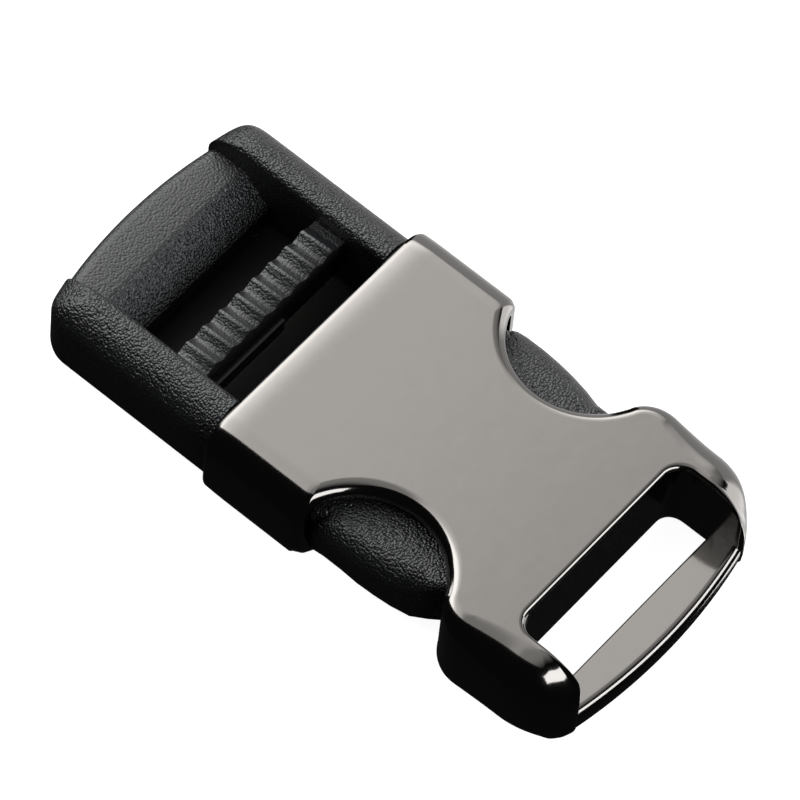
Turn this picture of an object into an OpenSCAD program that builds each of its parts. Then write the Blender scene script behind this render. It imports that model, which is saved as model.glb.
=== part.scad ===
// Side release buckle, fastened: a cast metal shell with a moulded plastic plug pushed into it.
// X runs across the webbing, Y along it towards the shell's loop, and Z up.
// The buckle lies on its underside at z = 0, with its middle on the Z axis.

/* [Webbing] */
// Width of the webbing that the buckle joins
webbing_w = 16; // [14:0.5:20]
// Spare width beside the webbing in the shell's loop
loop_room = 3.8; // [3:0.1:5]
// Spare width beside the webbing in the plug's slots
plug_room = 1.4; // [0.8:0.1:2.2]

/* [Shell] */
// Height of the shell
shell_h = 9.4; // [8.6:0.1:11]
// Thickness of the sleeve's walls
wall = 1.25; // [1:0.05:1.5]
// Rounding of the shell's long edges on top
side_r = 2.9; // [2:0.1:3.4]
// Rounding of the shell's long edges on the underside
side_base_r = 2.4; // [2:0.1:3.4]
// Width of each cheek beside the loop
cheek_w = 3.6; // [3.2:0.1:5]
// Length of the sleeve, from its mouth to the side windows
sleeve_l = 10; // [8:0.1:14]
// Length of a side window along the shell's side
window_l = 13.7; // [13:0.1:18]
// How far a side window cuts in from the shell's side
window_depth = 6.1; // [5:0.1:7]
// Rounding of the window's corner on the mouth's side
mouth_lip_r = 1.0; // [0.7:0.1:2]
// Rounding of the window's corner on the loop's side
loop_lip_r = 3.7; // [2:0.1:4]
// Free space between the prongs' tips and the end of the sleeve
tip_room = 0.5; // [0.3:0.1:1]
// Solid metal between the end of the sleeve and the loop's slot
bridge_l = 4.95; // [3:0.05:8]
// Length of the loop's slot along the webbing
slot_l = 4.3; // [4.3:0.1:8]
// Rounding of the slot's two corners at the bridge
slot_r = 1.6; // [0.5:0.1:2]
// Rounding of the slot's edges on the underside
slot_base_r = 2.2; // [1:0.1:2.4]
// Width of the strap bar along the webbing
strap_bar_w = 3.7; // [3:0.1:6]
// Thickness of the strap bar
strap_bar_h = 3.3; // [2:0.1:4]
// Rounding of the cheeks' noses, seen from the side
nose_r = 5.2; // [2.5:0.1:5.4]
// Rounding of the nose on the underside
nose_base_r = 1.3; // [0.5:0.1:2]
// Rounding of the loop's corners, seen from above
loop_corner_r = 6.4; // [3:0.1:6.4]
// How far the loop's end bows out
loop_bow = 0.5; // [0.2:0.05:1]

/* [Plug frame] */
// How far the plug stands out of the shell
plug_out = 19.5; // [19:0.1:26]
// Step in from the shell's side to the plug's side
plug_inset = 0.95; // [0.5:0.05:1.4]
// Step from the shell's top and underside to the plug's rails
plug_step = 0.75; // [0.4:0.05:1]
// Rounding of the rails' outer edges on top
rail_outer_r = 2.9; // [1.5:0.1:3.2]
// Rounding of the rails' outer edges on the underside
rail_base_r = 1.2; // [0.8:0.1:2.4]
// Rounding of the rails' inner edges
rail_inner_r = 0.7; // [0.3:0.1:0.9]
// Rounding of the rails' ends, seen from the side
rail_end_r = 5.2; // [2:0.1:5.2]
// Rounding of the plug's outer end on the underside
plug_base_r = 1.6; // [0.8:0.1:2]
// Rounding of the plug's corners, seen from above
plug_corner_r = 4.7; // [3:0.1:6]
// How far the plug's outer end bows out
plug_bow = 0.7; // [0.2:0.05:1]
// Width of the flat band on top of the end bar
band_w = 4.7; // [3:0.1:5]
// Thickness of the end bar at its flat band
end_bar_h = 5.25; // [4:0.05:6]
// Rounding of the end bar's outer edge
end_edge_r = 1.1; // [0.5:0.1:1.4]
// Length of the end bar's slope down to the slot
slope_l = 2.85; // [2:0.05:3.2]
// Thickness of the end bar at the slope's foot
slope_foot_h = 2.75; // [1:0.05:3.5]

/* [Grip bar] */
// Gap between the grip bar and the mouth of the shell
grip_gap = 4.15; // [4.15:0.05:5.5]
// Width of the grip bar along the webbing
grip_w = 3.2; // [2.6:0.1:3.6]
// Height of the grip bar's low edge above the plug's underside
grip_low_h = 6.5; // [5.5:0.05:7]
// Height of the grip bar's high edge above the plug's underside
grip_high_h = 6.7; // [5.6:0.05:7.2]
// Height of the grip bar's underside above the plug's underside
grip_foot_h = 2.2; // [0.5:0.1:3]
// Distance from ridge to ridge
ridge_pitch = 2; // [1.6:0.1:2.4]
// Height of a ridge
ridge_h = 0.5; // [0.3:0.05:0.7]
// Width of a ridge's flat crest
crest_w = 0.35; // [0.2:0.05:0.5]
// Width of the flat ground between two ridges
ground_w = 0.4; // [0.2:0.05:0.5]
// Width of the ledge on the grip bar's front face
ledge_w = 0.4; // [0.2:0.05:0.4]
// Height of the ledge above the plug's underside
ledge_h = 3.9; // [3:0.1:5]
// Where the ledge starts, measured from the middle of the bar
ledge_start = -1.1; // [-4:0.1:3]

/* [Prongs] */
// Clearance between the plug and the shell
fit_gap = 0.25; // [0.2:0.01:0.3]
// How far inside the mouth the web that carries the prongs stands
web_in = 1; // [0.5:0.1:2]
// Thickness of that web
web_l = 3; // [2.4:0.1:3.4]
// Width of a prong's arm inside the sleeve
arm_w = 2.8; // [2.2:0.1:3]
// Width of a prong's pressing lobe
lobe_w = 6.2; // [6:0.1:6.6]
// Step from the top of the web down to the top of the prongs
prong_drop = 0.8; // [0.3:0.1:1.2]
// How far the lobe's widest point lies inside the shell's side
lobe_inset = 0.9; // [0.8:0.1:1.5]
// How far the lobe tapers in from its widest point to its tip
lobe_taper = 2.8; // [1.6:0.1:3]
// Rounding of the prongs' outer edges on top
lobe_top_r = 2.6; // [1.5:0.1:2.8]
// Rounding of the prongs' outer edges on the underside
lobe_base_r = 2; // [1.5:0.1:2.2]
// Width of the guide between the prongs
guide_w = 2.6; // [1.6:0.1:2.8]
// How much shorter the guide is than the prongs
guide_short = 2.5; // [1:0.1:5]

/* [Hidden] */
$fn = 64;
// What a cutting body reaches past the surface that it cuts
past = 1;

// The shell across the webbing
loop_slot_w = webbing_w + loop_room;
half_w = loop_slot_w / 2 + cheek_w;
// The shell along the webbing, from the mouth at y = 0
window_mid_y = sleeve_l + window_l / 2;
cavity_l = sleeve_l + window_l + tip_room + 0.1;
slot_y = cavity_l + bridge_l;
bar_y = slot_y + slot_l;
shell_l = bar_y + strap_bar_w;
// The circle that the window's edge follows
window_r = (pow(window_l / 2, 2) + pow(window_depth, 2)) / (2 * window_depth);
window_x = half_w - window_depth + window_r;
// The sleeve's hollow
cavity_half_w = half_w - wall;
cavity_r = max(side_base_r - wall, 0.2);

// The plug across the webbing
plug_half_w = half_w - plug_inset;
plug_slot_half_w = (webbing_w + plug_room) / 2;
plug_z0 = plug_step;
plug_z1 = shell_h - plug_step;
// The plug along the webbing, from the mouth at y = 0
crease_y = -plug_out + band_w;
slope_end_y = crease_y + slope_l;
grip_y1 = -grip_gap;
grip_y0 = grip_y1 - grip_w;
grip_slope = atan((grip_high_h - grip_low_h) / grip_w);
// The part of the plug inside the sleeve
inner_half_w = cavity_half_w - fit_gap;
inner_z0 = wall + fit_gap;
inner_h = shell_h - 2 * inner_z0;
prong_h = inner_h - prong_drop;
root_y = web_in;
arm_y = root_y + web_l;
tip_y = cavity_l - tip_room;
lobe_half_w = half_w - lobe_inset;
// The sleeve's side wall ends here, and the lobe's shoulder stands behind it
lip_y = window_mid_y
    - sqrt(pow(window_r + mouth_lip_r, 2) - pow(window_x - half_w + mouth_lip_r, 2));
shoulder_y = lip_y + mouth_lip_r + fit_gap;

// Half of the whole buckle lies on each side of y = 0 once it is shifted by this
shift_y = (plug_out - shell_l) / 2;

// Rounded rectangle from x0 to x1 and y0 to y1; each end along y has its own radius
module plate(x0, x1, y0, y1, r0, r1) {
    translate([x0, y0 + r0]) square([x1 - x0, y1 - y0 - r0 - r1]);
    translate([x0 + r0, y0]) square([x1 - x0 - 2 * r0, r0 + 0.01]);
    translate([x0 + r1, y1 - r1 - 0.01]) square([x1 - x0 - 2 * r1, r1 + 0.01]);
    for (x = [x0 + r0, x1 - r0]) translate([x, y0 + r0]) circle(r0);
    for (x = [x0 + r1, x1 - r1]) translate([x, y1 - r1]) circle(r1);
}

// Extrudes an outline drawn in X and Z along Y
module along_y(y0, y1) {
    translate([0, y1, 0]) rotate([90, 0, 0]) linear_extrude(y1 - y0) children();
}

// Extrudes an outline drawn in Y and Z along X
module along_x(x0, x1) {
    translate([x0, 0, 0]) rotate([90, 0, 90]) linear_extrude(x1 - x0) children();
}

// Disc whose edge bows out by bow over a half width, with its outermost point at y = 0
module bow_disc(half, bow) {
    r = (pow(half, 2) + pow(bow, 2)) / (2 * bow);
    translate([0, -r]) circle(r, $fn = 360);
}

// One side window, seen from above, on the +X side
module window_cut() {
    near = mouth_lip_r + window_r;
    far = loop_lip_r + window_r;
    near_x = half_w - mouth_lip_r;
    far_x = half_w - loop_lip_r;
    near_y = window_mid_y - sqrt(pow(near, 2) - pow(window_x - near_x, 2));
    far_y = window_mid_y + sqrt(pow(far, 2) - pow(window_x - far_x, 2));
    near_k = window_r / near;
    far_k = window_r / far;
    translate([window_x, window_mid_y]) circle(window_r, $fn = 120);
    difference() {
        polygon([
            [window_x, window_mid_y],
            [window_x + (near_x - window_x) * near_k, window_mid_y + (near_y - window_mid_y) * near_k],
            [near_x, near_y],
            [half_w, near_y],
            [half_w + past, near_y],
            [half_w + past, far_y],
            [half_w, far_y],
            [far_x, far_y],
            [window_x + (far_x - window_x) * far_k, window_mid_y + (far_y - window_mid_y) * far_k]
        ]);
        translate([near_x, near_y]) circle(mouth_lip_r);
        translate([far_x, far_y]) circle(loop_lip_r);
    }
}

// The shell seen from above
module shell_plan() {
    difference() {
        intersection() {
            union() {
                translate([-half_w, 0]) square([2 * half_w, shell_l - loop_corner_r]);
                plate(-half_w, half_w, bar_y - 2 * loop_corner_r, shell_l, 0.01, loop_corner_r);
            }
            translate([0, shell_l]) bow_disc(half_w - loop_corner_r, loop_bow);
        }
        window_cut();
        mirror([1, 0]) window_cut();
    }
}

// The shell seen from the side, with its nose at the loop
module shell_profile() {
    square([shell_l - nose_r, shell_h]);
    translate([0, nose_base_r]) square([shell_l, shell_h - nose_r - nose_base_r]);
    square([shell_l - nose_base_r, shell_h - nose_r]);
    translate([shell_l - nose_r, shell_h - nose_r]) circle(nose_r);
    translate([shell_l - nose_base_r, nose_base_r]) circle(nose_base_r);
}

module shell_body() {
    intersection() {
        translate([0, 0, -past]) linear_extrude(shell_h + 2 * past) shell_plan();
        along_y(-past, shell_l + past) plate(-half_w, half_w, 0, shell_h, side_base_r, side_r);
        along_x(-half_w - past, half_w + past) shell_profile();
    }
}

// Hollow sleeve, open at the mouth and at both windows
module sleeve_hollow() {
    along_y(-past, cavity_l)
        plate(-cavity_half_w, cavity_half_w, wall, shell_h - wall, cavity_r, cavity_r);
}

// Outline that rounds an edge: the wall ends at v = 0 and the underside is at w = 0
module base_round() {
    difference() {
        translate([-slot_base_r, -past]) square([slot_base_r + 1, slot_base_r + past]);
        translate([-slot_base_r + 0.02, slot_base_r + 0.02]) circle(slot_base_r);
    }
}

// Slot through the loop, and the open space above the strap bar
module loop_cut() {
    half = loop_slot_w / 2;
    translate([0, 0, -past]) linear_extrude(shell_h + 2 * past)
        plate(-half, half, slot_y, bar_y, slot_r, 0.01);
    along_x(-half + slot_r, half - slot_r) translate([slot_y, 0]) base_round();
    along_y(slot_y + slot_r, bar_y) {
        translate([half, 0]) mirror([1, 0]) base_round();
        translate([-half, 0]) base_round();
    }
    translate([-half, bar_y - 0.5, strap_bar_h]) cube([loop_slot_w, strap_bar_w + 2 * past, shell_h]);
}

module shell() {
    color([0.45, 0.44, 0.43]) translate([0, shift_y, 0]) difference() {
        shell_body();
        sleeve_hollow();
        loop_cut();
    }
}

// The plug's frame seen from above, up to the mouth of the shell
module plug_plan() {
    intersection() {
        plate(-plug_half_w, plug_half_w, -plug_out, -fit_gap, plug_corner_r, 0.01);
        translate([0, -plug_out]) mirror([0, 1]) bow_disc(plug_half_w - plug_corner_r, plug_bow);
    }
}

// The rails seen from the side, rounded down at their outer end
module rail_profile() {
    translate([-plug_out, plug_z0 + plug_base_r])
        square([plug_out, plug_z1 - plug_z0 - plug_base_r - rail_end_r]);
    translate([-plug_out + plug_base_r, plug_z0]) square([plug_out - plug_base_r, plug_base_r + 0.5]);
    translate([-plug_out + rail_end_r, plug_z0 + plug_base_r])
        square([plug_out - rail_end_r, plug_z1 - plug_z0 - plug_base_r]);
    translate([-plug_out + rail_end_r, plug_z1 - rail_end_r]) circle(rail_end_r);
    translate([-plug_out + plug_base_r, plug_z0 + plug_base_r]) circle(plug_base_r);
}

// One rail's cross section, on the +X side
module rail_section() {
    x0 = plug_slot_half_w;
    x1 = plug_half_w;
    ri = rail_inner_r;
    rb = rail_base_r;
    ro = min(rail_outer_r, x1 - x0 - ri);
    translate([x0, plug_z0 + ri]) square([x1 - x0 - ro, plug_z1 - plug_z0 - 2 * ri]);
    translate([x0 + ri, plug_z0]) square([x1 - x0 - ri - max(ro, rb) + 0.001, plug_z1 - plug_z0]);
    translate([x0 + ri, plug_z0]) square([x1 - x0 - ri - rb, rb]);
    translate([x0 + ri, plug_z0 + rb]) square([x1 - x0 - ri, plug_z1 - plug_z0 - rb - ro]);
    for (z = [plug_z0 + ri, plug_z1 - ri]) translate([x0 + ri, z]) circle(ri);
    translate([x1 - rb, plug_z0 + rb]) circle(rb);
    intersection() {
        translate([x1 - ro, plug_z1 - ro]) circle(ro);
        translate([x1 - ro, plug_z1 - ro]) square(ro);
    }
}

module rails() {
    intersection() {
        translate([0, 0, -past]) linear_extrude(shell_h + 2 * past) plug_plan();
        along_x(-half_w, half_w) rail_profile();
        along_y(-plug_out - past, past) {
            rail_section();
            mirror([1, 0]) rail_section();
        }
    }
}

// End bar: a low flat band, and a slope down to the slot for the webbing
module end_bar() {
    top = plug_z0 + end_bar_h;
    reach = plug_slot_half_w + rail_inner_r;
    intersection() {
        translate([0, 0, -past]) linear_extrude(shell_h + 2 * past) plug_plan();
        along_x(-reach, reach) {
            translate([-plug_out + end_edge_r, plug_z0]) square([band_w - end_edge_r, end_bar_h]);
            translate([-plug_out, plug_z0 + end_edge_r])
                square([band_w, end_bar_h - 2 * end_edge_r]);
            for (z = [plug_z0 + end_edge_r, top - end_edge_r])
                translate([-plug_out + end_edge_r, z]) circle(end_edge_r);
            polygon([
                [crease_y, plug_z0],
                [crease_y, top],
                [slope_end_y, plug_z0 + slope_foot_h],
                [slope_end_y, plug_z0]
            ]);
        }
    }
}

// Outline of the ridges across the bar, with the crests at height 0
module ridges(half) {
    flank_w = (ridge_pitch - crest_w - ground_w) / 2;
    pairs = floor((plug_slot_half_w - crest_w / 2 - flank_w) / ridge_pitch + 0.5);
    points = [
        for (i = [-pairs : pairs - 1])
            let (x = (i + 0.5) * ridge_pitch)
            each [
                [x - crest_w / 2 - flank_w, -ridge_h],
                [x - crest_w / 2, 0],
                [x + crest_w / 2, 0],
                [x + crest_w / 2 + flank_w, -ridge_h]
            ]
    ];
    polygon(concat([[-half, -shell_h], [-half, -ridge_h]], points, [[half, -ridge_h], [half, -shell_h]]));
}

// Ridged bar that grips the webbing, with a short ledge on its front face
module grip_bar() {
    half = plug_slot_half_w + rail_inner_r;
    slope_over = tan(grip_slope) * past;
    intersection() {
        along_x(-half, half) polygon([
            [grip_y0, plug_z0 + grip_foot_h],
            [grip_y0, plug_z0 + grip_low_h],
            [grip_y1, plug_z0 + grip_high_h],
            [grip_y1, plug_z0 + grip_foot_h]
        ]);
        translate([0, grip_y0 - past, plug_z0 + grip_low_h - slope_over]) rotate([grip_slope, 0, 0])
            along_y(0, grip_w + 3 * past) ridges(half);
    }
    translate([ledge_start, grip_y1 - 0.3, plug_z0 + grip_foot_h])
        cube([half - ledge_start, ledge_w + 0.3, ledge_h - grip_foot_h]);
}

// One prong seen from above, on the +X side
module prong_plan() {
    arm_x0 = inner_half_w - arm_w;
    lobe_x0 = lobe_half_w - lobe_w;
    tip_x = lobe_half_w - lobe_taper;
    mid_y = (shoulder_y + tip_y) / 2;
    polygon([
        [arm_x0, arm_y - 0.5],
        [inner_half_w, arm_y - 0.5],
        [inner_half_w, shoulder_y],
        [lobe_half_w - 0.2, shoulder_y + 0.1],
        [lobe_half_w, shoulder_y + 1.2],
        [lobe_half_w, shoulder_y + 3.5],
        [lobe_half_w - lobe_taper * 0.1, mid_y],
        [lobe_half_w - lobe_taper * 0.4, (mid_y + tip_y) / 2],
        [tip_x, tip_y - 1.4],
        [tip_x - 1.6, tip_y],
        [lobe_x0 + 1.2, tip_y],
        [lobe_x0, tip_y - 1.2],
        [lobe_x0, shoulder_y + 2],
        [arm_x0, shoulder_y - 0.8]
    ]);
}

// Web just inside the mouth, with two prongs and the guide between them
module inner_plug() {
    intersection() {
        union() {
            translate([-inner_half_w, root_y, inner_z0]) cube([2 * inner_half_w, web_l, inner_h]);
            for (side = [-1, 1])
                translate([side > 0 ? plug_slot_half_w : -inner_half_w, -fit_gap - 1, inner_z0])
                    cube([inner_half_w - plug_slot_half_w, fit_gap + 1 + root_y + web_l / 2, inner_h]);
        }
        along_y(-plug_out, cavity_l)
            plate(-inner_half_w, inner_half_w, inner_z0, inner_z0 + inner_h, cavity_r, cavity_r);
    }
    intersection() {
        translate([0, 0, inner_z0]) linear_extrude(prong_h) {
            prong_plan();
            mirror([1, 0]) prong_plan();
        }
        along_y(0, shell_l) plate(-lobe_half_w, lobe_half_w, inner_z0, inner_z0 + prong_h,
                                  lobe_base_r, lobe_top_r);
    }
    translate([-guide_w / 2, arm_y - 0.5, inner_z0])
        cube([guide_w, tip_y - guide_short - arm_y + 0.5, inner_h]);
}

module plug() {
    color([0.13, 0.13, 0.14]) translate([0, shift_y, 0]) {
        rails();
        end_bar();
        grip_bar();
        inner_plug();
    }
}

shell();
plug();
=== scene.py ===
"""Side release buckle, fastened: the visible pieces, their materials, the light and the camera."""

import math

import bmesh
import bpy
from mathutils import Matrix, Vector


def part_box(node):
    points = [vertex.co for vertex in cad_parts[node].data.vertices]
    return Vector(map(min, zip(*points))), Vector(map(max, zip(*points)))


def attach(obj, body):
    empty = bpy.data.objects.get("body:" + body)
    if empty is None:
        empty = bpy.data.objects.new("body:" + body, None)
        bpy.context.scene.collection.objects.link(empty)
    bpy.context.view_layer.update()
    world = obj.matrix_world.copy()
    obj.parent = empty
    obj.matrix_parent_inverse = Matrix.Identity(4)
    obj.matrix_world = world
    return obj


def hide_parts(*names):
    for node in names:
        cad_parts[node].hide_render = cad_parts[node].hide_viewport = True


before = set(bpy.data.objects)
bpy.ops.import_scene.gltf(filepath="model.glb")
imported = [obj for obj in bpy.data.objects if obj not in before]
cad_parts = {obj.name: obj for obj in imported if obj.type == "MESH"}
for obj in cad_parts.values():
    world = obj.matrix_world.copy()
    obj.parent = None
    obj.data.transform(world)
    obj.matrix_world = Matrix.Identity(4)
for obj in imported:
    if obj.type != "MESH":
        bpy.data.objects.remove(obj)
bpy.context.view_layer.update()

bl_info = {
    "name": "Side Release Buckle",
    "version": (1, 0, 0),
    "blender": (4, 5, 0),
    "location": "View3D > Sidebar > Buckle",
    "description": "Builds a polished metal shell and a grained plastic plug around the packed model",
    "category": "Object",
}

MM = 0.001
FEWEST_FACES = 100
SHELL_LO, SHELL_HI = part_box("shell")
PLUG_LO, PLUG_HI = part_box("plug")
MOUTH_Y = SHELL_LO.y
SHELL_H = SHELL_HI.z / MM
SHELL_W = SHELL_HI.x / MM
SHELL_L = (SHELL_HI.y - MOUTH_Y) / MM
RAIL_X = PLUG_HI.x / MM - 0.05
PLUG_OUT = (MOUTH_Y - PLUG_LO.y) / MM
PLUG_BASE = PLUG_LO.z / MM
PLUG_TOP = PLUG_HI.z / MM


# Measures in millimetres

def place(x, y, z):
    """A point in millimetres, with y counted from the shell's mouth towards the loop."""
    return Vector((x * MM, MOUTH_Y + y * MM, z * MM))


def arc(cx, cy, r, a0, a1, n):
    """Points along an arc, with its angles in degrees."""
    angles = [math.radians(a0 + (a1 - a0) * i / n) for i in range(n + 1)]
    return [(cx + r * math.cos(a), cy + r * math.sin(a)) for a in angles]


def line(x0, y0, x1, y1, n):
    """Points along a straight line."""
    return [(x0 + (x1 - x0) * i / n, y0 + (y1 - y0) * i / n) for i in range(n + 1)]


def smooth(t):
    """Eases from 0 to 1 while t goes from 0 to 1."""
    t = min(max(t, 0.0), 1.0)
    return t * t * (3 - 2 * t)


def drop(distance, radius):
    """How far a rounded edge has fallen at a distance past its start."""
    d = min(max(distance, 0.0), radius)
    return radius - math.sqrt(radius * radius - d * d)


# Mesh helpers

def sweep(bm, rings, closed=True):
    """Makes the first ring of points into edges and extrudes it through the others."""
    verts = [bm.verts.new(p) for p in rings[0]]
    count = len(verts)
    edges = [bm.edges.new((verts[i], verts[(i + 1) % count])) for i in range(count if closed else count - 1)]
    for ring in rings[1:]:
        new = bmesh.ops.extrude_edge_only(bm, edges=edges)["geom"]
        fresh = {v for v in new if isinstance(v, bmesh.types.BMVert)}
        above = {}
        for v in fresh:
            for e in v.link_edges:
                other = e.other_vert(v)
                if other not in fresh:
                    above[other] = v
        verts = [above[v] for v in verts]
        for v, p in zip(verts, ring):
            v.co = p
        inside = set(verts)
        edges = [e for e in new if isinstance(e, bmesh.types.BMEdge) and inside.issuperset(e.verts)]


def whole(bm):
    """All of a bmesh's geometry, as an operator takes it."""
    return bm.verts[:] + bm.edges[:] + bm.faces[:]


def inset(bm, faces, width):
    """Insets flat faces by a width in millimetres, so that they shade flat."""
    bmesh.ops.inset_region(bm, faces=faces, thickness=width * MM, use_boundary=True, use_even_offset=True)


def close_ends(bm, support=0.0):
    """Closes the open ends with flat faces, and insets them where a support width is given."""
    bmesh.ops.remove_doubles(bm, verts=bm.verts, dist=0.002 * MM)
    rims = [v for v in bm.verts if v.is_boundary]
    bmesh.ops.remove_doubles(bm, verts=rims, dist=0.03 * MM)
    open_edges = [e for e in bm.edges if e.is_boundary]
    caps = bmesh.ops.holes_fill(bm, edges=open_edges, sides=0)["faces"]
    if support:
        inset(bm, caps, support)
    bmesh.ops.recalc_face_normals(bm, faces=bm.faces)


def rounded_rings(outline, z0, z1, steps):
    """Rings of a block whose wall follows the outline, from its base to its top. Each point of the
    outline is (x, y, top, base). Its top and its base say where the rounding of that edge ends, in x
    and y, and how high the rounding is."""
    rings = []
    for part, end, sign, turns in ((3, z0, 1, range(steps, -1, -1)), (2, z1, -1, range(steps + 1))):
        for k in turns:
            a = math.radians(90 * k / steps)
            inward, level = 1 - math.cos(a), 1 - math.sin(a)
            ring = []
            for point in outline:
                x, y = point[:2]
                end_x, end_y, height = point[part]
                z = end + sign * height * level
                ring.append(place(x + (end_x - x) * inward, y + (end_y - y) * inward, z))
            rings.append(ring)
    return rings


def make_object(name, bm):
    """Makes an object of the bmesh, which is freed."""
    mesh = bpy.data.meshes.new(name)
    bm.to_mesh(mesh)
    bm.free()
    obj = bpy.data.objects.new(name, mesh)
    bpy.context.scene.collection.objects.link(obj)
    return obj


def combine(obj, others, operation):
    """Joins the other solids to obj, or cuts them from it, and removes them."""
    for other in others:
        mod = obj.modifiers.new("Combine", "BOOLEAN")
        mod.operation, mod.solver, mod.object = operation, "EXACT", other
        graph = bpy.context.evaluated_depsgraph_get()
        mesh = bpy.data.meshes.new_from_object(obj.evaluated_get(graph))
        obj.modifiers.clear()
        old, obj.data = obj.data, mesh
        bpy.data.meshes.remove(old)
        used = other.data
        bpy.data.objects.remove(other)
        bpy.data.meshes.remove(used)
    obj.data.name = obj.name


def finish_piece(obj, node, material, angle):
    """Tests that the piece's solids combined, gives it its finish, parents it to the root body and hides the
    model's part that it replaces.
    Edges sharper than the angle, in degrees, stay sharp."""
    mesh = obj.data
    if len(mesh.polygons) < FEWEST_FACES:
        raise RuntimeError("the solids of " + obj.name + " didn't combine")
    mesh.materials.clear()
    mesh.materials.append(material)
    for polygon in mesh.polygons:
        polygon.material_index = 0
    mesh.shade_smooth()
    mesh.set_sharp_from_angle(angle=math.radians(angle))
    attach(obj, "root")
    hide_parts(node)


# Material helpers

class Value:
    """A socket of a material, with arithmetic that adds Math nodes."""

    def __init__(self, paint, socket):
        self.paint, self.socket = paint, socket

    def math(self, operation, a, b=None):
        inputs = {0: a} if b is None else {0: a, 1: b}
        return self.paint.node("ShaderNodeMath", {"operation": operation}, inputs)

    def __add__(self, other):
        return self.math("ADD", self, other)

    def __sub__(self, other):
        return self.math("SUBTRACT", self, other)

    def __mul__(self, other):
        return self.math("MULTIPLY", self, other)

    def __radd__(self, other):
        return self.math("ADD", other, self)

    def __rsub__(self, other):
        return self.math("SUBTRACT", other, self)

    def __rmul__(self, other):
        return self.math("MULTIPLY", other, self)

    def size(self):
        return self.math("ABSOLUTE", self)

    def fade(self, low, high):
        """0 below low, 1 above high, and smooth between them."""
        inputs = {"Value": self, "From Min": low, "From Max": high}
        return self.paint.node("ShaderNodeMapRange", {"interpolation_type": "SMOOTHSTEP"}, inputs)


class Paint:
    """One material and its nodes."""

    def __init__(self, name):
        self.material = bpy.data.materials.new(name)
        self.material.use_nodes = True
        self.tree = self.material.node_tree
        self.tree.nodes.clear()
        self.shader = self.tree.nodes.new("ShaderNodeBsdfPrincipled")
        output = self.tree.nodes.new("ShaderNodeOutputMaterial")
        self.tree.links.new(self.shader.outputs[0], output.inputs[0])

    def connect(self, socket, value):
        if isinstance(value, Value):
            self.tree.links.new(value.socket, socket)
        else:
            socket.default_value = value

    def node(self, kind, settings=None, inputs=None, output=0):
        """Adds a node with its settings first and then the values or links of its sockets."""
        node = self.tree.nodes.new(kind)
        for name, value in (settings or {}).items():
            setattr(node, name, value)
        for name, value in (inputs or {}).items():
            self.connect(node.inputs[name], value)
        return Value(self, node.outputs[output])

    def set(self, **sockets):
        for name, value in sockets.items():
            self.connect(self.shader.inputs[name.replace("_", " ")], value)

    def mix(self, factor, a, b):
        inputs = {"Factor": factor, 6: a, 7: b}
        return self.node("ShaderNodeMix", {"data_type": "RGBA"}, inputs, output=2)

    def position(self):
        """Where a point lies on its piece: the vector, its x and its y, in metres."""
        where = self.node("ShaderNodeTexCoord", output="Object")
        x = self.node("ShaderNodeSeparateXYZ", inputs={"Vector": where})
        return where, x, Value(self, x.socket.node.outputs["Y"])


def opaque(colour, gain=1.0):
    """A colour with its alpha, paler by the gain."""
    return tuple(min(1.0, c * gain) for c in colour) + (1,)


def shell_metal(sizes):
    """Polished black nickel over cast zinc, with the casting's faint waves left in it."""
    paint = Paint("black_nickel")
    where = paint.node("ShaderNodeTexCoord", output="Object")
    waves = paint.node("ShaderNodeTexNoise",
                       inputs={"Vector": where, "Scale": 420.0, "Detail": 3.0, "Roughness": 0.6})
    haze = paint.node("ShaderNodeTexNoise", inputs={"Vector": where, "Scale": 900.0, "Detail": 4.0})
    paint.set(
        Base_Color=paint.mix(haze, opaque(sizes.colour), opaque(sizes.colour, 1.08)),
        Metallic=1.0,
        Roughness=haze * 0.04 + sizes.roughness,
        Normal=paint.node("ShaderNodeBump", inputs={"Height": waves, "Strength": 0.06, "Distance": 0.0001}),
    )
    return paint.material


def plug_plastic(sizes):
    """Black acetal with a spark-eroded grain. The grain is weaker on the end bar's flat band and on the
    grip bar, and the ledge behind the grip bar has none."""
    paint = Paint("grained_acetal")
    where, x, y = paint.position()

    def past(start, end):
        """0 before a place along the plug and 1 after it, both in millimetres from the mouth."""
        return y.fade(MOUTH_Y + start * MM, MOUTH_Y + end * MM)

    def between_rails(blur):
        return 1 - x.size().fade((SLOT_X - blur) * MM, SLOT_X * MM)

    band = (1 - past(CREASE_Y - 0.3, CREASE_Y)) * between_rails(0.2)
    grip = past(GRIP_Y0 - 0.2, GRIP_Y0 - 0.1) * between_rails(0.1) * (1 - past(-3, -2))
    ledge = past(GRIP_Y1 + 0.02, GRIP_Y1 + 0.06) * grip
    cell = sizes.grain * MM
    cells = paint.node("ShaderNodeTexVoronoi", {"feature": "SMOOTH_F1"},
                       {"Vector": where, "Scale": 1 / cell, "Smoothness": 0.3})
    pits = paint.node("ShaderNodeTexNoise", inputs={"Vector": where, "Scale": 1.7 / cell, "Detail": 2.0})
    grain = (pits * 0.12 - cells * cells) * (1 - band * 0.55) * (1 - grip * 0.7) * (1 - ledge)
    paint.set(
        Base_Color=paint.mix(pits, opaque(sizes.colour), opaque(sizes.colour, 1.6)),
        Roughness=pits * 0.1 + band * 0.1 + sizes.roughness,
        Specular_IOR_Level=0.46,
        Specular_Tint=(0.95, 0.975, 1, 1),
        Normal=paint.node("ShaderNodeBump", inputs={"Height": grain, "Strength": 1.0, "Distance": 0.00012}),
    )
    return paint.material


# Sizes and colours that a user would change

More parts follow.
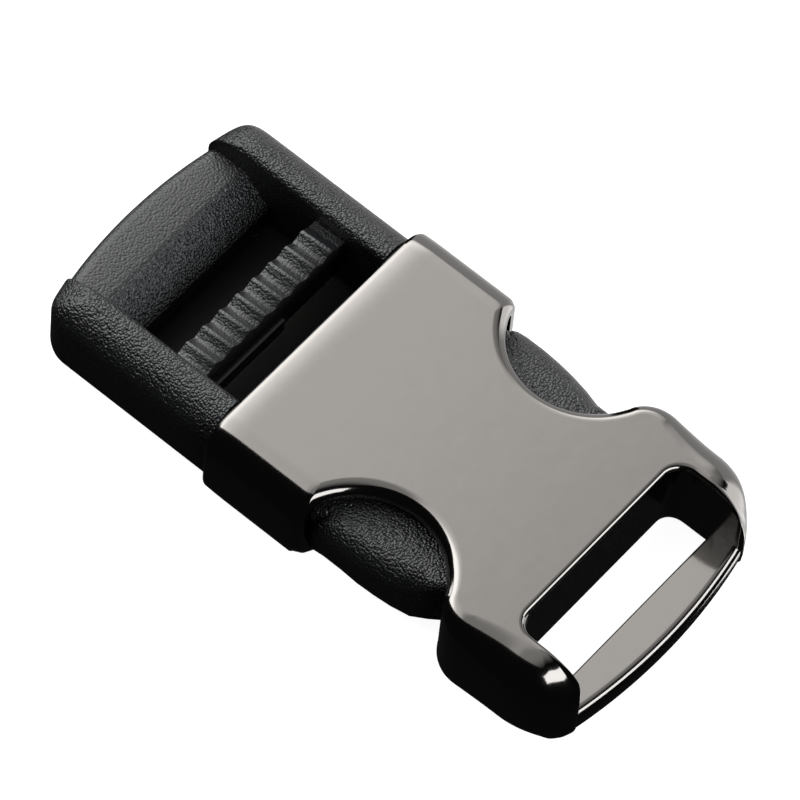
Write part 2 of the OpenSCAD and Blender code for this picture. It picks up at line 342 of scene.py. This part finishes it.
class ShellSizes(bpy.types.PropertyGroup):
    colour: bpy.props.FloatVectorProperty(
        name="Metal colour", description="Colour of the black nickel plate", subtype="COLOR",
        size=3, min=0, max=1, default=(0.155, 0.15, 0.145))
    roughness: bpy.props.FloatProperty(
        name="Metal roughness", description="How blurred the plate's reflections are",
        min=0, max=1, default=0.09)
    side_round: bpy.props.FloatProperty(
        name="Side rounding", description="Rounding of the long edges, in millimetres",
        min=1.5, max=3, default=2.9)
    edge_round: bpy.props.FloatProperty(
        name="Edge rounding", description="Rounding of the edges round the windows, in millimetres",
        min=0.4, max=1.4, default=1.15)


class PlugSizes(bpy.types.PropertyGroup):
    colour: bpy.props.FloatVectorProperty(
        name="Plastic colour", description="Colour of the moulded plastic", subtype="COLOR",
        size=3, min=0, max=1, default=(0.006, 0.0063, 0.007))
    roughness: bpy.props.FloatProperty(
        name="Plastic roughness", description="How dull the plastic is", min=0, max=1, default=0.24)
    grain: bpy.props.FloatProperty(
        name="Grain size", description="Size of one cell of the grain, in millimetres",
        min=0.1, max=1, default=0.21)


class StageSizes(bpy.types.PropertyGroup):
    floor_colour: bpy.props.FloatVectorProperty(
        name="Floor colour", description="Colour of the plain floor", subtype="COLOR",
        size=3, min=0, max=1, default=(1, 1, 1))
    light: bpy.props.FloatProperty(
        name="Light", description="Strength of all the lights", min=0.1, max=5, default=1)


# The shell. Each length is in millimetres, and each Y counts from the mouth

WALL = 1.25
SLEEVE_END = 24.3
HOLLOW_R = 1.15
RIM_R = 0.72
CROWN_END, CROWN_RATE = 2.6, 0.034
LIP_Y, LIP_R, LIP_TURN = 9.16, 1.0, 78
WINDOW_X, WINDOW_Y, WINDOW_R = 14.3, 16.85, 6.9
WINDOW_START, WINDOW_END = (12.728, 10.135), (11.37, 23.095)
LOOP_LIP_Y, LOOP_LIP_R = 26.445, 3.7
SLOT_HALF, SLOT_Y, SLOT_R = 9.9, 29.25, 1.6
SLOT_EDGE = 0.5
SIDE_BASE_R, LOOP_BASE_R, SLOT_BASE_R, BRIDGE_BASE_R = 2.4, 1.85, 1.5, 2.2
LOOP_CORNER_R, LOOP_CORNER_TURN = 6.4, 54.7
NOSE_Y, NOSE_R, NOSE_BASE_R, NOSE_TIP_R = 32.05, 5.2, 1.4, 0.4
NOSE_START = 31.5
BAR_Y, BAR_TOP, BAR_LEAN = 33.55, 3.3, 0.04
BOW_R = 50.66


def loop_end(x):
    """Where the loop's bowed end lies at x."""
    return SHELL_L - BOW_R + math.sqrt(BOW_R ** 2 - x * x)


def bearing(x, y, from_x, from_y):
    """The direction of a point seen from another, in degrees."""
    return math.degrees(math.atan2(y - from_y, x - from_x))


def nose_drop(y):
    """How far the cheek's nose has fallen at y, with the rounding of the slot's edge."""
    return drop(y - NOSE_Y, NOSE_R * 0.92) + SLOT_EDGE


def sleeve_outline(side, edge):
    """The outline of one side of the sleeve, from behind the mouth's cut round the window."""
    flat = SHELL_W - side
    corner_y = WINDOW_Y - math.sqrt((WINDOW_R + edge) ** 2 - (WINDOW_X - flat) ** 2)
    side_base = SHELL_W - SIDE_BASE_R
    behind = -2
    points = [
        (0, behind, (0, behind, 0.5), (0, behind, 0.5)),
        (SHELL_W, behind, (flat, behind, side), (side_base, behind, SIDE_BASE_R)),
    ]
    for x, y in line(SHELL_W, 0.5, SHELL_W, LIP_Y, 8):
        end_y = min(y, corner_y)
        points.append((x, y, (flat, end_y, side), (side_base, end_y, SIDE_BASE_R)))
    for x, y in arc(SHELL_W - LIP_R, LIP_Y, LIP_R, 0, LIP_TURN, 8)[1:]:
        both = (flat, corner_y, min(side, drop(x - flat, side) + edge))
        points.append((x, y, both, both))
    start = bearing(*WINDOW_START, WINDOW_X, WINDOW_Y)
    end = bearing(*WINDOW_END, WINDOW_X, WINDOW_Y) - 360
    k = (WINDOW_R + edge) / WINDOW_R
    for x, y in arc(WINDOW_X, WINDOW_Y, WINDOW_R, start, end, 56)[1:]:
        end_x, end_y = WINDOW_X + (x - WINDOW_X) * k, WINDOW_Y + (y - WINDOW_Y) * k
        if end_x > flat and y < WINDOW_Y:
            end_x, end_y = flat, corner_y
        both = (end_x, end_y, min(side, drop(x - flat, side) + edge))
        points.append((x, y, both, both))
    return points


def cheek_outline(side, edge):
    """The outline of one cheek, from the loop's lip round its nose."""
    points = []
    lip_x = SHELL_W - LOOP_LIP_R
    start = bearing(*WINDOW_END, lip_x, LOOP_LIP_Y)
    for i, (x, y) in enumerate(arc(lip_x, LOOP_LIP_Y, LOOP_LIP_R, start, 0, 20)[1:], 1):
        t = smooth(i / 40)
        a = math.atan2(y - LOOP_LIP_Y, x - lip_x)
        ends = []
        for full in (side, LOOP_BASE_R):
            d = edge + (full - edge) * t
            ends.append((x - d * math.cos(a), y - d * math.sin(a), d))
        points.append((x, y, *ends))
    corner_x, corner_y = SHELL_W - LOOP_CORNER_R, SHELL_L - LOOP_CORNER_R
    for i, (x, y) in enumerate(line(SHELL_W, LOOP_LIP_Y, SHELL_W, corner_y, 12)[1:], 1):
        t = smooth(0.5 + i / 24)
        top, low = edge + (side - edge) * t, edge + (LOOP_BASE_R - edge) * t
        points.append((x, y, (SHELL_W - top, y, top), (SHELL_W - low, y, low)))
    flat = SHELL_W - side
    inner = SLOT_HALF + SLOT_EDGE
    gap = 0.03
    ridge_out, ridge_in = SHELL_W - LOOP_BASE_R - gap, SLOT_HALF + SLOT_BASE_R + gap
    tip_y = loop_end(SLOT_HALF) - NOSE_TIP_R
    base_end = loop_end(SLOT_HALF) - NOSE_BASE_R
    for i, (x, y) in enumerate(arc(corner_x, corner_y, LOOP_CORNER_R, 0, LOOP_CORNER_TURN, 20)[1:], 1):
        t = smooth(i / 20)
        end_x = flat + (inner + gap - flat) * t
        end_y = min(corner_y + (NOSE_Y - corner_y) * i / 14, NOSE_Y)
        base_x = SHELL_W - LOOP_BASE_R + (ridge_out - SHELL_W + LOOP_BASE_R) * t
        low = (base_x, min(y, base_end), LOOP_BASE_R + (NOSE_BASE_R - LOOP_BASE_R) * t)
        points.append((x, y, (end_x, end_y, side + (NOSE_R - side) * t ** 3), low))
    for i, (x, y) in enumerate(arc(SLOT_HALF + NOSE_TIP_R, tip_y, NOSE_TIP_R, 90, 180, 5)):
        height = NOSE_R + (nose_drop(tip_y) - NOSE_R) * i / 5
        points.append((x, y, (inner, NOSE_Y, height), (ridge_in, base_end, NOSE_BASE_R)))
    for x, y in line(SLOT_HALF, tip_y, SLOT_HALF, SLOT_Y + SLOT_R, 16)[1:]:
        end_y = y if y < NOSE_START else NOSE_START + (NOSE_Y - NOSE_START) * smooth((y - NOSE_START) / 3)
        low = (SLOT_HALF + SLOT_BASE_R, min(y, base_end), SLOT_BASE_R)
        points.append((x, y, (inner, end_y, nose_drop(y)), low))
    return points


def slot_outline():
    """The outline of half of the slot's inner end, round its corner to the bridge's middle."""
    points = []
    cx, cy = SLOT_HALF - SLOT_R, SLOT_Y + SLOT_R
    for x, y in arc(cx, cy, SLOT_R, 0, -90, 14)[1:]:
        low = SLOT_BASE_R + (BRIDGE_BASE_R - SLOT_BASE_R) * smooth((cy - y) / SLOT_R)
        ends = []
        for d in (SLOT_EDGE, low):
            k = (SLOT_R + d) / SLOT_R
            ends.append((cx + (x - cx) * k, cy + (y - cy) * k, d))
        points.append((x, y, *ends))
    points.append((0, SLOT_Y, (0, SLOT_Y - SLOT_EDGE, SLOT_EDGE), (0, SLOT_Y - BRIDGE_BASE_R, BRIDGE_BASE_R)))
    return points


def shell_casting(sizes):
    """The casting's outside, solid, with its mouth cut square, its rim rounded and the mouth crowned."""
    side, edge = sizes.side_round, sizes.edge_round
    outline = sleeve_outline(side, edge) + cheek_outline(side, edge) + slot_outline()
    bm = bmesh.new()
    sweep(bm, rounded_rings(outline, 0, SHELL_H, 14), closed=False)
    bmesh.ops.mirror(bm, geom=whole(bm), axis="X", merge_dist=0.002 * MM)
    close_ends(bm)
    cut = bmesh.ops.bisect_plane(bm, geom=whole(bm), dist=1e-7, plane_co=(0, MOUTH_Y, 0),
                                 plane_no=(0, -1, 0), clear_outer=True)["geom_cut"]
    rim = [e for e in cut if isinstance(e, bmesh.types.BMEdge)]
    bmesh.ops.holes_fill(bm, edges=rim, sides=0)
    bmesh.ops.recalc_face_normals(bm, faces=bm.faces)
    rim = [e for e in bm.edges if all(abs(v.co.y - MOUTH_Y) < 1e-7 for v in e.verts)]
    bmesh.ops.bevel(bm, geom=rim, offset=RIM_R * MM, offset_type="OFFSET", segments=8, profile=0.5,
                    affect="EDGES", material=-1, clamp_overlap=True)
    for y in (0.75, 1.0, 1.25, 1.5, 1.75, 2.0, 2.3, CROWN_END):
        bmesh.ops.bisect_plane(bm, geom=whole(bm), dist=1e-7, plane_co=place(0, y, 0), plane_no=(0, 1, 0))
    middle = SHELL_H / 2
    for v in bm.verts:
        fall = CROWN_RATE * MM * max(0.0, CROWN_END - (v.co.y - MOUTH_Y) / MM) ** 2
        v.co.z -= fall * (v.co.z / MM - middle) / middle
    inset(bm, [f for f in bm.faces if abs(f.normal.z) > 0.9999 and len(f.verts) > 50], 0.015)
    return make_object("shell_body", bm)


def sleeve_hollow():
    """The space inside the sleeve, flared where it meets the mouth's rim."""
    x_in, low, high = SHELL_W - WALL - HOLLOW_R, WALL + HOLLOW_R, SHELL_H - WALL - HOLLOW_R
    corners = ((x_in, high, 0), (-x_in, high, 90), (-x_in, low, 180), (x_in, low, 270))
    rings = []
    for y, grow in ((SLEEVE_END, 0), (0.4, 0), (0.25, 0.03), (0.1, 0.12), (0.0, 0.28), (-1.5, 0.28)):
        ring = []
        for cx, cz, a in corners:
            ring += [place(x, y, z) for x, z in arc(cx, cz, HOLLOW_R + grow, a, a + 90, 8)]
        rings.append(ring)
    bm = bmesh.new()
    sweep(bm, rings)
    close_ends(bm)
    return make_object("hollow", bm)


def strap_bar():
    """The low bar between the cheeks, bowed at its outer side, with its top leaning a little."""
    n = 24
    reach = SLOT_HALF + 0.45
    points = []
    for i in range(n + 1):
        x = reach - 2 * reach * i / n
        y = loop_end(x) - 0.02
        points.append((x, y, (x, y - 0.7, 0.7), (x, y - 1.55, 1.55)))
    for i in range(n + 1):
        x = -reach + 2 * reach * i / n
        points.append((x, BAR_Y, (x, BAR_Y + 0.2, 0.2), (x, BAR_Y + 0.8, 0.8)))
    bm = bmesh.new()
    sweep(bm, rounded_rings(points, 0.01, BAR_TOP, 8))
    for v in bm.verts:
        if v.co.z > BAR_TOP / 2 * MM:
            v.co.z += BAR_LEAN * (v.co.y - place(0, BAR_Y, 0).y)
    close_ends(bm, 0.05)
    return make_object("bar", bm)


# The plug. Each length is in millimetres, and each Y counts from the shell's mouth

SLOT_X = 8.7
RAIL_TOP_R, RAIL_INNER_R, RAIL_BASE_R, RAIL_END_R = 2.9, 0.7, 1.2, 5.2
RAIL_START = -0.25
PLUG_CORNER_R, PLUG_CORNER_Y, PLUG_CORNER_TURN = 3.0, -15.38, 76.65
PLUG_BOW_R = 44.36
BAND_Z, CREASE_Y, SLOPE_Y, SLOPE_Z = 6.0, -14.8, -11.95, 3.5
GRIP_Y0, GRIP_Y1, GRIP_Z0, GRIP_Z1, GRIP_FOOT = -7.35, -4.15, 7.25, 7.45, 2.95
INNER_X, INNER_Z0, INNER_Z1, PRONG_Z1 = 12.0, 1.5, 7.9, 7.1


def plug_end(x):
    """Where the plug's bowed end lies at x."""
    return -PLUG_OUT + PLUG_BOW_R - math.sqrt(PLUG_BOW_R ** 2 - x * x)


def on_side(side, outline):
    """The outline on the side that the sign says."""
    return [(side * x, y, (side * top[0], *top[1:]), (side * low[0], *low[1:])) for x, y, top, low in outline]


def rail(side):
    """One rail, on the side that the sign says."""
    outer, top_x, base_x = RAIL_X - RAIL_TOP_R, SLOT_X + RAIL_INNER_R, SLOT_X + 0.4
    nose, nose_h = -PLUG_OUT + RAIL_END_R, 3.0
    end_base_r = 1.6
    points = []
    for x, y in line(RAIL_X, RAIL_START, RAIL_X, PLUG_CORNER_Y, 6):
        points.append((x, y, (outer, max(y, nose), RAIL_TOP_R), (x - RAIL_BASE_R, y, RAIL_BASE_R)))
    corner = arc(RAIL_X - PLUG_CORNER_R, PLUG_CORNER_Y, PLUG_CORNER_R, 0, -PLUG_CORNER_TURN, 18)
    for i, (x, y) in enumerate(corner[1:], 1):
        t = smooth(i / 18)
        h = RAIL_TOP_R + (nose_h - RAIL_TOP_R) * t - 0.6 * math.sin(math.pi * t)
        a = math.radians(-PLUG_CORNER_TURN * i / 18)
        b = RAIL_BASE_R + 0.4 * t
        points.append((x, y, (outer, nose, h), (x - b * math.cos(a), y - b * math.sin(a), b)))
    x_end = RAIL_X - PLUG_CORNER_R * (1 - math.cos(math.radians(PLUG_CORNER_TURN)))
    base_end = plug_end(base_x) + end_base_r
    for i in range(1, 4):
        x = x_end + (SLOT_X - x_end) * i / 3
        y = plug_end(x)
        low = (max(x, base_x), max(y + end_base_r, base_end), end_base_r)
        points.append((x, y, (top_x if i > 1 else outer, nose, nose_h), low))
    for x, y in line(SLOT_X, plug_end(SLOT_X), SLOT_X, RAIL_START, 24)[1:]:
        h = min(nose_h, drop(nose - y, RAIL_END_R) + RAIL_INNER_R)
        points.append((x, y, (top_x, max(y, nose), h), (base_x, max(y, base_end), 0.4)))
    bm = bmesh.new()
    sweep(bm, rounded_rings(on_side(side, points), PLUG_BASE, PLUG_TOP, 10))
    close_ends(bm)
    return make_object("rail", bm)


def end_bar():
    """The end bar's side outline, swept across from rail to rail with its outer edge bowed."""
    n = 30
    reach = SLOT_X + 0.6
    r = 1.2
    rings = []
    for i in range(n + 1):
        x = -reach + 2 * reach * i / n
        y0 = plug_end(x) + 0.02
        side = arc(y0 + r, BAND_Z - r, r, 180, 90, 6)
        side += [(CREASE_Y - 0.5, BAND_Z), (CREASE_Y, BAND_Z - 0.04)]
        side += [(CREASE_Y + 0.3, BAND_Z - 0.25), (SLOPE_Y - 0.4, SLOPE_Z + 0.35)]
        side += arc(SLOPE_Y - 0.35, SLOPE_Z - 0.35, 0.35, 45, 0, 3)
        side += [(SLOPE_Y, PLUG_BASE + 0.3), (SLOPE_Y - 0.3, PLUG_BASE + 0.02)]
        side += arc(y0 + r, PLUG_BASE + 0.02 + r, r, 270, 180, 6)
        rings.append([place(x, y, z) for y, z in side])
    bm = bmesh.new()
    sweep(bm, rings)
    close_ends(bm)
    return make_object("end_bar", bm)


def grip_bar():
    """The ridged bar across the plug's slot, with the edges at its two sides rounded."""
    reach = SLOT_X + 0.3
    pitch, ridge_h = 2, 0.5
    ridge = ((-0.98, 0), (-0.75, 0.07), (-0.2, 0.44), (-0.1, ridge_h),
             (0.1, ridge_h), (0.2, 0.44), (0.75, 0.07), (0.98, 0))
    outline = [(-reach, 0)]
    for i in range(-4, 4):
        outline += [((i + 0.5) * pitch + x, h) for x, h in ridge]
    outline += [(reach, 0)]
    edge, cut = 0.15, 0.04
    stations = ((GRIP_Y0, edge), (GRIP_Y0 + cut, cut), (GRIP_Y0 + edge, 0),
                (GRIP_Y1 - edge, 0), (GRIP_Y1 - cut, cut), (GRIP_Y1, edge))
    rings = []
    for y, sink in stations:
        z = GRIP_Z0 + (GRIP_Z1 - GRIP_Z0) * (y - GRIP_Y0) / (GRIP_Y1 - GRIP_Y0) - ridge_h
        ring = [place(x, y, z + h - sink) for x, h in outline]
        ring += [place(reach, y, GRIP_FOOT + sink), place(-reach, y, GRIP_FOOT + sink)]
        rings.append(ring)
    bm = bmesh.new()
    sweep(bm, rings)
    close_ends(bm)
    return make_object("grip", bm)


def block(name, x0, x1, y0, y1, z0, z1, r=0.1):
    """A box between two corners, with its edges rounded."""
    low, high = place(x0, y0, z0), place(x1, y1, z1)
    bm = bmesh.new()
    bmesh.ops.create_cube(bm, size=1)
    bmesh.ops.scale(bm, vec=high - low, verts=bm.verts)
    bmesh.ops.translate(bm, vec=(high + low) / 2, verts=bm.verts)
    if r:
        bmesh.ops.bevel(bm, geom=bm.edges[:], offset=r * MM, offset_type="OFFSET", segments=2, profile=0.5,
                        affect="EDGES", material=-1)
    return make_object(name, bm)


def prong(side):
    """A prong's lobe, with its outer edge domed, and the arm that carries it."""
    plan = [(9.3, 3.0), (12.0, 3.0), (12.0, 10.3), (12.3, 10.45), (12.5, 10.9), (12.6, 12.0), (12.6, 13.8),
            (12.5, 15.4), (12.3, 17.0), (12.0, 18.6), (11.55, 20.2), (10.9, 21.6), (10.2, 22.5), (9.4, 23.3),
            (8.6, 23.8), (7.6, 23.8), (6.9, 23.5), (6.5, 22.8), (6.4, 21.6), (6.4, 17.0), (6.4, 12.4),
            (6.7, 11.6), (7.6, 10.8), (9.3, 9.6)]
    middle = 9.0
    dome_r, dome_in = 2.6, 2.1
    points = []
    for x, y in plan:
        if x > 11 and y > 10.2:
            top = (x - dome_in, min(max(y, 12.4), 20.4), dome_r)
            reach = max(x - 10.6, 0.4)
            low = (x - reach, min(max(y, 12.0), 22.0), drop(reach, 2.0) + 0.1)
        elif y > 20:
            top = low = (x + (middle - x) * 0.35, y - 0.9, 0.8)
        else:
            top = low = (x + (0.2 if x < middle else -0.2), y, 0.2)
        points.append((x, y, top, low))
    bm = bmesh.new()
    sweep(bm, rounded_rings(on_side(side, points), INNER_Z0, PRONG_Z1, 8))
    close_ends(bm)
    return make_object("prong", bm)


def plug_moulding():
    """The whole plug. Its hidden blocks differ a little in height, so that no faces lie on each other."""
    body = rail(1)
    others = [
        rail(-1),
        end_bar(),
        grip_bar(),
        block("ledge", -1.1, SLOT_X + 0.2, GRIP_Y1 - 0.3, GRIP_Y1 + 0.4, GRIP_FOOT + 0.05, 4.65),
        block("web", 0.4 - INNER_X, INNER_X - 0.4, 1.0, 4.0, INNER_Z0 + 0.07, INNER_Z1 - 0.07, 0.3),
    ]
    for side in (-1, 1):
        x0, x1 = sorted((side * (SLOT_X + 0.04), side * (INNER_X - 0.8)))
        others.append(block("root", x0, x1, -1.0, 2.5, INNER_Z0 + 0.04, INNER_Z1 - 0.04, 0))
        others.append(prong(side))
    others.append(block("guide", -1.3, 1.3, 3.5, 21.3, INNER_Z0 + 0.11, INNER_Z1 - 0.11, 0.3))
    combine(body, others, "UNION")
    body.name = body.data.name = "plug_body"
    return body


# The camera and the stage. The camera's target and distance are in millimetres

CAMERA_AZIMUTH, CAMERA_ELEVATION, CAMERA_ROLL = 124.896, 59.424, 6.434
CAMERA_TARGET = (-3.860, -2.611, 0)
CAMERA_DISTANCE = 682.2
FOCAL_PIXELS, FRAME_PIXELS, SENSOR_MM = 8510.2, 800, 36
BLACK = (0, 0, 0, 1)


def toward(az, el):
    """The direction at an azimuth and elevation in degrees, where azimuth 0 is -Y."""
    a, e = math.radians(az), math.radians(el)
    return Vector((math.sin(a) * math.cos(e), -math.cos(a) * math.cos(e), math.sin(e)))


def sheet(name, half_x, half_y, x=0, y=0):
    """A flat sheet round a place in x and y, in metres."""
    bm = bmesh.new()
    bmesh.ops.create_grid(bm, x_segments=1, y_segments=1, size=1)
    bmesh.ops.scale(bm, vec=(half_x, half_y, 1), verts=bm.verts)
    bmesh.ops.translate(bm, vec=(x, y, 0), verts=bm.verts)
    return make_object(name, bm)


def make_glow(obj, paint, glow, colour, strength):
    """Makes a sheet shine where glow is 1, and hides it from the camera."""
    paint.set(Base_Color=BLACK, Emission_Color=paint.mix(glow, BLACK, colour), Emission_Strength=strength)
    obj.data.materials.append(paint.material)
    obj.visible_camera = False


def far_wall(sizes):
    """A tall card on the -X side that only reflections show, dim towards the mouth, bright near the loop."""
    wall = sheet("far_wall", 0.55, 0.42)
    paint = Paint("wall_cloth")
    _, _, y = paint.position()
    make_glow(wall, paint, y.fade(0.1, 0.25) * 0.7 + 0.3, (1, 0.99, 0.98, 1), 3.0 * sizes.light)
    wall.matrix_world = Matrix(((0, 0, 1, -0.5), (0, 1, 0, 0), (-1, 0, 0, -0.3), (0, 0, 0, 1)))
    wall.visible_diffuse = False
    return wall


def softbox_panel(sizes):
    """The large softbox overhead, cut off on the +X side, dim towards the loop and bright past the mouth."""
    panel = sheet("softbox", 1.96, 1.15, -1.56, -0.55)
    paint = Paint("softbox_cloth")
    _, x, y = paint.position()
    glow = x.fade(-2.7, -0.5) * (1 - y.fade(-0.05, 0.55)) * (1 - y.fade(-0.8, -0.3) * 0.61)
    glow = glow * (1 - y.fade(-0.29, -0.12) * 0.62)
    make_glow(panel, paint, glow, (1, 0.985, 0.965, 1), 6.0 * sizes.light)
    panel.location.z = 0.8
    return panel


def pale_floor(sizes):
    """The plain floor, which gives some light of its own so that the background stays even."""
    floor = sheet("floor", 3.0, 3.0)
    paint = Paint("pale_floor")
    paint.set(Base_Color=(0.35, 0.35, 0.35, 1), Roughness=0.9,
              Emission_Color=opaque(sizes.floor_colour), Emission_Strength=0.95)
    floor.data.materials.append(paint.material)
    floor.visible_glossy = False
    floor.visible_diffuse = False
    floor.location.z = -0.02 * MM
    return floor


def painted_shadow_card():
    """A dark card on the pale floor under the plug: painted shadow, which keeps the floor seen through the
    plug's openings dark.
    """
    card = sheet("painted_shadow_card", 10.3 * MM, 6.6 * MM)
    paint = Paint("painted_shadow_colour")
    paint.set(Base_Color=(0.004, 0.004, 0.004, 1), Roughness=1.0)
    card.data.materials.append(paint.material)
    card.location = place(0, -6.2, 0.02)
    return card


def strip_light(name, direction, width, height, radiance):
    """A strip light that faces the buckle from a direction, with its sizes in metres."""
    distance = 0.6
    data = bpy.data.lights.new(name, "AREA")
    data.shape, data.size, data.size_y = "RECTANGLE", width, height
    data.energy = radiance * math.pi * width * height
    lamp = bpy.data.objects.new(name, data)
    bpy.context.scene.collection.objects.link(lamp)
    turn = direction.to_track_quat("Z", "Y").to_matrix().to_4x4()
    lamp.matrix_world = Matrix.Translation(direction * distance) @ turn


# Operators

class BUCKLE_OT_camera(bpy.types.Operator):
    """Make the camera"""
    bl_idname = "buckle.camera"
    bl_label = "Camera"

    def execute(self, context):
        back = toward(CAMERA_AZIMUTH, CAMERA_ELEVATION)
        az, roll = math.radians(CAMERA_AZIMUTH), math.radians(CAMERA_ROLL)
        right = Vector((math.cos(az), math.sin(az), 0))
        up = back.cross(right)
        side = math.cos(roll) * right + math.sin(roll) * up
        top = math.cos(roll) * up - math.sin(roll) * right
        data = bpy.data.cameras.new("camera")
        data.sensor_width = SENSOR_MM
        data.lens = FOCAL_PIXELS / FRAME_PIXELS * SENSOR_MM
        data.clip_start = 0.01
        camera = bpy.data.objects.new("camera", data)
        context.scene.collection.objects.link(camera)
        spot = Vector(CAMERA_TARGET) * MM + back * CAMERA_DISTANCE * MM
        camera.matrix_world = Matrix.Translation(spot) @ Matrix((side, top, back)).transposed().to_4x4()
        context.scene.camera = camera
        return {"FINISHED"}


class BUCKLE_OT_stage(bpy.types.Operator):
    """Make the floor and the studio light"""
    bl_idname = "buckle.stage"
    bl_label = "Stage"

    def execute(self, context):
        sizes = context.scene.buckle_stage
        floor = pale_floor(sizes)
        # The dark card under the plug is painted shadow on the floor.
        card = painted_shadow_card()
        world = bpy.data.worlds.new("studio")
        world.use_nodes = True
        background = world.node_tree.nodes["Background"]
        background.inputs["Color"].default_value = (1, 1, 1, 1)
        background.inputs["Strength"].default_value = 0.012 * sizes.light
        context.scene.world = world
        context.scene.view_settings.view_transform = "Standard"
        softbox_panel(sizes)
        far_wall(sizes)
        strip_light("strip_loop", toward(188, 26), 1.0, 0.3, 5.5 * sizes.light)
        strip_light("strip_mouth", toward(346, 13), 0.34, 0.22, 4.5 * sizes.light)
        return {"FINISHED"}


class BUCKLE_OT_shell(bpy.types.Operator):
    """Make the metal shell"""
    bl_idname = "buckle.shell"
    bl_label = "Shell"

    def execute(self, context):
        sizes = context.scene.buckle_shell
        shell = shell_casting(sizes)
        combine(shell, [sleeve_hollow()], "DIFFERENCE")
        combine(shell, [strap_bar()], "UNION")
        finish_piece(shell, "shell", shell_metal(sizes), 32)
        return {"FINISHED"}


class BUCKLE_OT_plug(bpy.types.Operator):
    """Make the plastic plug"""
    bl_idname = "buckle.plug"
    bl_label = "Plug"

    def execute(self, context):
        plug = plug_moulding()
        finish_piece(plug, "plug", plug_plastic(context.scene.buckle_plug), 40)
        return {"FINISHED"}


class BUCKLE_PT_panel(bpy.types.Panel):
    bl_idname = "BUCKLE_PT_panel"
    bl_label = "Side Release Buckle"
    bl_space_type = "VIEW_3D"
    bl_region_type = "UI"
    bl_category = "Buckle"

    def draw(self, context):
        for group in GROUPS:
            sizes = getattr(context.scene, group)
            for name in sizes.__annotations__:
                self.layout.prop(sizes, name)
        for operator in OPERATORS:
            self.layout.operator(operator.bl_idname)


OPERATORS = (BUCKLE_OT_camera, BUCKLE_OT_stage, BUCKLE_OT_shell, BUCKLE_OT_plug)
GROUPS = {"buckle_shell": ShellSizes, "buckle_plug": PlugSizes, "buckle_stage": StageSizes}


def register():
    for cls in (*GROUPS.values(), *OPERATORS, BUCKLE_PT_panel):
        bpy.utils.register_class(cls)
    for name, group in GROUPS.items():
        setattr(bpy.types.Scene, name, bpy.props.PointerProperty(type=group))


def unregister():
    for name in GROUPS:
        delattr(bpy.types.Scene, name)
    for cls in reversed((*GROUPS.values(), *OPERATORS, BUCKLE_PT_panel)):
        bpy.utils.unregister_class(cls)


def main():
    register()
    bpy.ops.buckle.camera()
    bpy.ops.buckle.stage()
    bpy.ops.buckle.shell()
    bpy.ops.buckle.plug()


if __name__ == "__main__":
    main()
